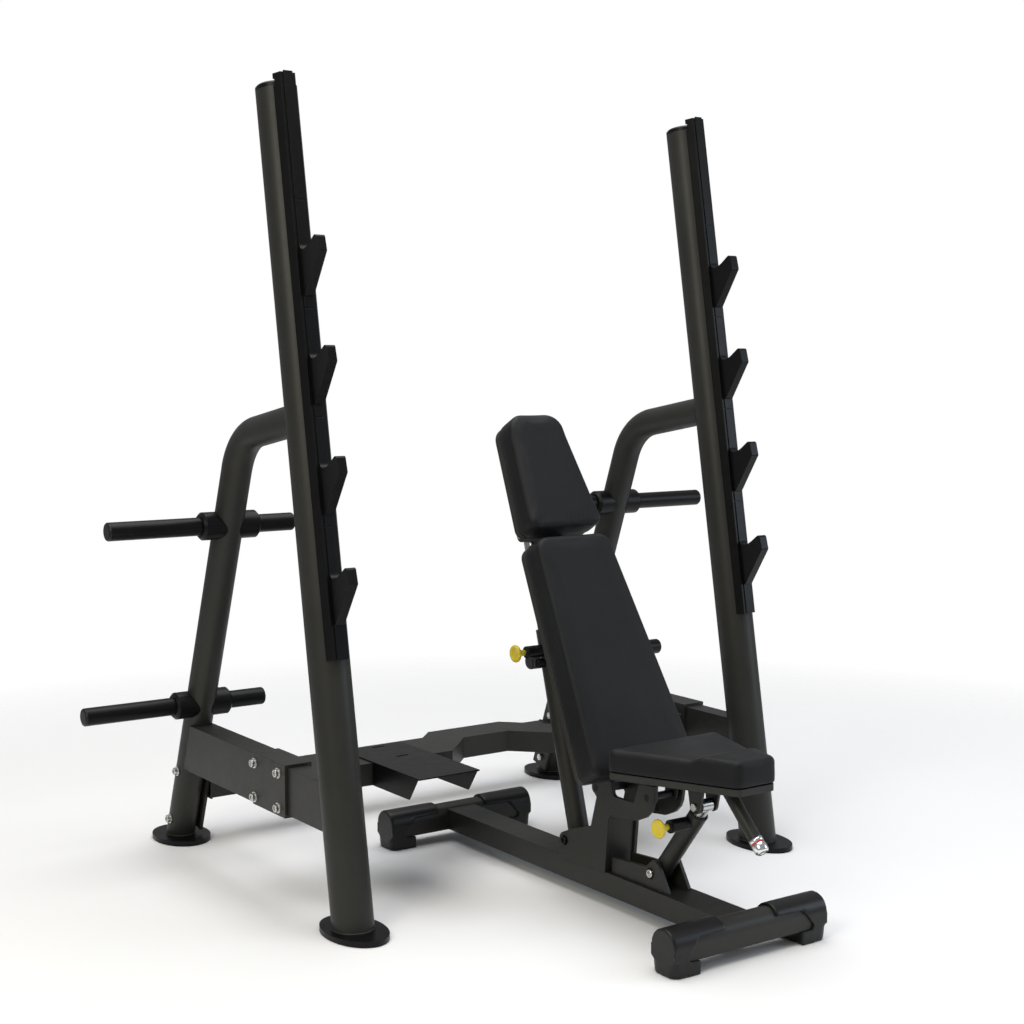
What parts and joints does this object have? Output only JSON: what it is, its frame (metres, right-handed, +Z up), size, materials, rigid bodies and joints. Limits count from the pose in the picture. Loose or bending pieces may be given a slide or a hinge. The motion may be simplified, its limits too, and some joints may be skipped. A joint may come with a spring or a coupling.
{
  "type": "olympic bench press",
  "caption": "Olympic bench press: leaning rack with bar hooks, plate horns and spotter plates, plus a free-standing bench with a tilting back and seat.",
  "frame": {"origin": "floor level, midway between the centres of the two front base plates", "axes": "+Z up, -Y is the front where the lifter's feet are, +X is to the right seen from the front"},
  "size_m": [1.744, 1.5661, 1.8],
  "materials": {
    "frame": "satin",
    "black_steel": "satin",
    "cap": "matte",
    "zinc": "satin",
    "pin_steel": "satin",
    "pad": "satin",
    "board": "matte",
    "knob": "gloss",
    "ring": "gloss",
    "chrome_end": "polished"
  },
  "bodies": {
    "rack": {"front_plates": "black_steel", "upright_left": "frame", "upright_right": "frame", "upright_caps": "black_steel", "hook_rails": "black_steel", "hooks_left": "black_steel", "hooks_right": "black_steel", "rear_plates": "black_steel", "rear_leg_left": "frame", "rear_leg_right": "frame", "horns_left": "black_steel", "horns_right": "black_steel", "horn_collars": "black_steel", "horn_caps": "cap", "side_rails_rear": "frame", "side_rails_front": "frame", "side_rail_bolts": "zinc", "front_cross_member": "frame", "foot_plate_left": "black_steel", "foot_plate_right": "black_steel", "rear_cross_member": "frame", "end_plates": "frame", "leg_bolts": "zinc"},
    "bench": {"bench_beam": "frame", "front_foot": "frame", "rear_foot": "frame", "foot_caps": "cap", "column_plates": "frame", "column_web": "frame", "strut_bracket": "frame", "pivot_axles": "black_steel", "strut_bolts": "zinc"},
    "backrest": {"back_spine": "frame", "back_hinge_arm": "frame", "back_board": "board", "back_pad": "pad", "head_board": "board", "head_pad": "pad", "upper_strut_lugs": "frame", "upper_strut_studs": "zinc"},
    "back_strut": {"back_strut_tube": "frame", "back_pin_barrel": "black_steel", "back_pin_spring": "pin_steel", "grip_peg": "black_steel"},
    "back_strut_slider": {"back_strut_inner": "pin_steel"},
    "back_pull_pin": {"back_knob": "knob", "back_plunger": "pin_steel"},
    "seat": {"seat_bracket": "frame", "seat_board": "board", "seat_pad": "pad", "seat_strut_top_bolt": "zinc", "handle_tube": "frame", "handle_ring": "ring", "handle_end": "chrome_end"},
    "seat_strut": {"seat_strut_tube": "frame", "seat_pin_barrel": "black_steel", "seat_pin_spring": "pin_steel"},
    "seat_strut_slider": {"seat_strut_inner": "pin_steel"},
    "seat_pull_pin": {"seat_knob": "knob", "seat_plunger": "pin_steel"}
  },
  "joints": [
    {"name": "bench_roll", "type": "slide", "parent": "rack", "child": "bench", "axis": [0, -1, 0], "range_m": [0, 0.6]},
    {"name": "backrest_tilt", "type": "hinge", "parent": "bench", "child": "backrest", "pos_m": [0, -0.131, 0.26], "axis": [1, 0, 0], "range_deg": [-48, 10]},
    {"name": "back_strut_tilt", "type": "hinge", "parent": "bench", "child": "back_strut", "pos_m": [0, -0.02, 0.116], "axis": [1, 0, 0], "range_deg": [-44, 9.3]},
    {"name": "back_strut_slide", "type": "slide", "parent": "back_strut", "child": "back_strut_slider", "axis": [0, 0.2797, 0.9601], "range_m": [-0.14, 0.03]},
    {"name": "back_pin_pull", "type": "slide", "parent": "back_strut", "child": "back_pull_pin", "axis": [-1, 0, 0], "range_m": [0, 0.008], "stiffness_N_per_m": 800, "springref_m": -0.004},
    {"name": "seat_tilt", "type": "hinge", "parent": "bench", "child": "seat", "pos_m": [0, -0.303, 0.275], "axis": [1, 0, 0], "range_deg": [-20, 0]},
    {"name": "seat_strut_tilt", "type": "hinge", "parent": "bench", "child": "seat_strut", "pos_m": [0, -0.305, 0.11], "axis": [1, 0, 0], "range_deg": [-8.3, 0]},
    {"name": "seat_strut_slide", "type": "slide", "parent": "seat_strut", "child": "seat_strut_slider", "axis": [0, -0.606, 0.7955], "range_m": [0, 0.0325]},
    {"name": "seat_pin_pull", "type": "slide", "parent": "seat_strut", "child": "seat_pull_pin", "axis": [-1, 0, 0], "range_m": [0, 0.008], "stiffness_N_per_m": 800, "springref_m": -0.004}
  ],
  "couplings": [
    {"joint": "back_strut_tilt", "follows": "backrest_tilt", "ratio": 0.91},
    {"joint": "back_strut_slide", "follows": "backrest_tilt", "m_per_rad": 0.166},
    {"joint": "seat_strut_tilt", "follows": "seat_tilt", "ratio": 0.405},
    {"joint": "seat_strut_slide", "follows": "seat_tilt", "m_per_rad": -0.0917}
  ]
}
